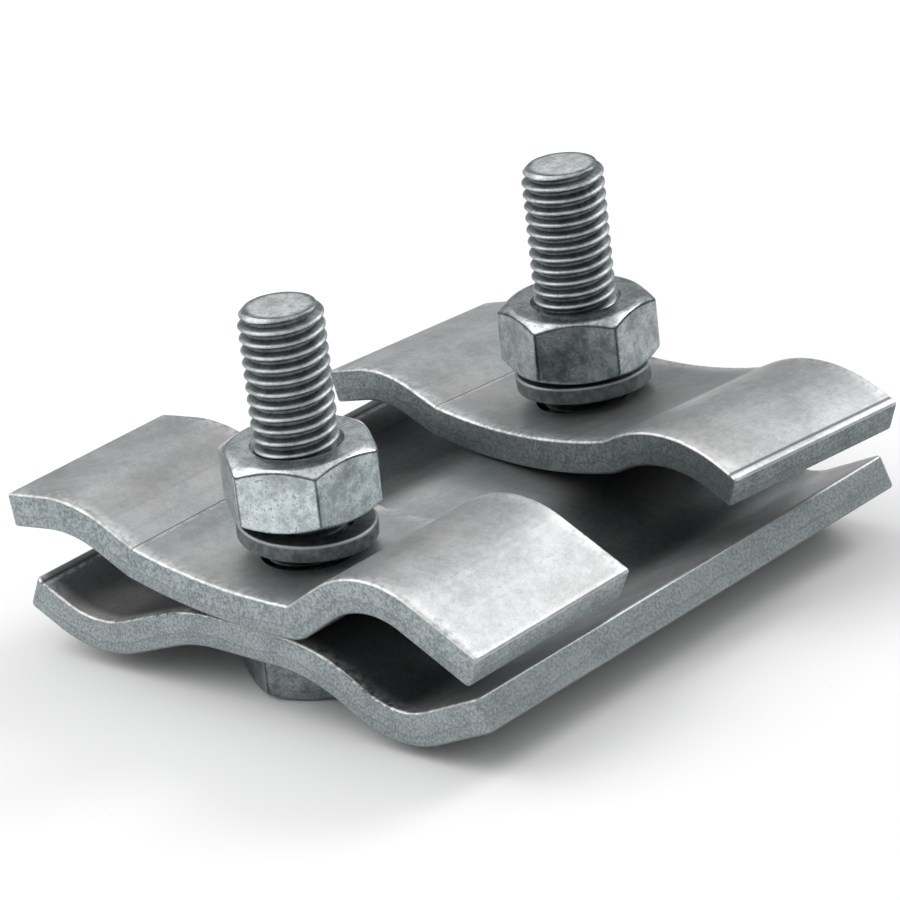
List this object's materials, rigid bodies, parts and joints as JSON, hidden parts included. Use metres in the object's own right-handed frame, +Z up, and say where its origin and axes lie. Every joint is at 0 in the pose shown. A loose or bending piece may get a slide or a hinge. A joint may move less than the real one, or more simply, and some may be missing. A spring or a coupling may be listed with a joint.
{
  "type": "parallel groove clamp",
  "caption": "Parallel groove clamp: a long grooved base plate and short clamp plates bolted over it, to join two parallel conductors.",
  "frame": {"origin": "middle of the flat on top of the base plate's ridge, halfway between the two bolts", "axes": "+X along the two conductors, towards the rear bolt; +Y towards the wide left groove; +Z up along the bolts, towards the nuts"},
  "size_m": [0.0814, 0.0774, 0.0456],
  "materials": {
    "pressed_plate": "hot-dip galvanised, dull grey zinc with a mottled grain, bare sheared edges",
    "fastener": "hot-dip galvanised, mottled zinc, brighter on the corners and the thread crests",
    "spring_washer": "dull galvanised spring steel"
  },
  "bodies": {
    "clamp_base": {"base_plate": "pressed_plate", "front_bolt": "fastener", "rear_bolt": "fastener"},
    "front_washer_body": {"front_spring_washer": "spring_washer"},
    "front_plate_body": {"front_clamp_plate": "pressed_plate"},
    "front_nut_body": {"front_nut": "fastener"},
    "rear_washer_body": {"rear_spring_washer": "spring_washer"},
    "rear_plate_body": {"rear_clamp_plate": "pressed_plate"},
    "rear_nut_body": {"rear_nut": "fastener"}
  },
  "joints": [
    {"name": "front_lift", "type": "slide", "parent": "clamp_base", "child": "front_washer_body", "axis": [0, 0, 1], "range_m": [0, 0.016]},
    {"name": "front_swivel", "type": "hinge", "parent": "front_washer_body", "child": "front_plate_body", "pos_m": [-0.025, 0, 0.0024], "axis": [0, -0.0541, 0.9985], "range_deg": [-16, 16]},
    {"name": "front_nut_turn", "type": "hinge", "parent": "front_washer_body", "child": "front_nut_body", "pos_m": [-0.025, 0, 0.01397], "axis": [0, 0, 1], "range_deg": [0, 3841]},
    {"name": "rear_lift", "type": "slide", "parent": "clamp_base", "child": "rear_washer_body", "axis": [0, 0, 1], "range_m": [0, 0.016]},
    {"name": "rear_swivel", "type": "hinge", "parent": "rear_washer_body", "child": "rear_plate_body", "pos_m": [0.025, 0, 0.00251], "axis": [0, 0.0872, 0.9962], "range_deg": [-8.2, 23.8]},
    {"name": "rear_nut_turn", "type": "hinge", "parent": "rear_washer_body", "child": "rear_nut_body", "pos_m": [0.025, 0, 0.01337], "axis": [0, 0, 1], "range_deg": [0, 3841]}
  ],
  "couplings": [
    {"joint": "front_nut_turn", "follows": "front_lift", "rad_per_m": 4188.8},
    {"joint": "rear_nut_turn", "follows": "rear_lift", "rad_per_m": 4188.8}
  ]
}
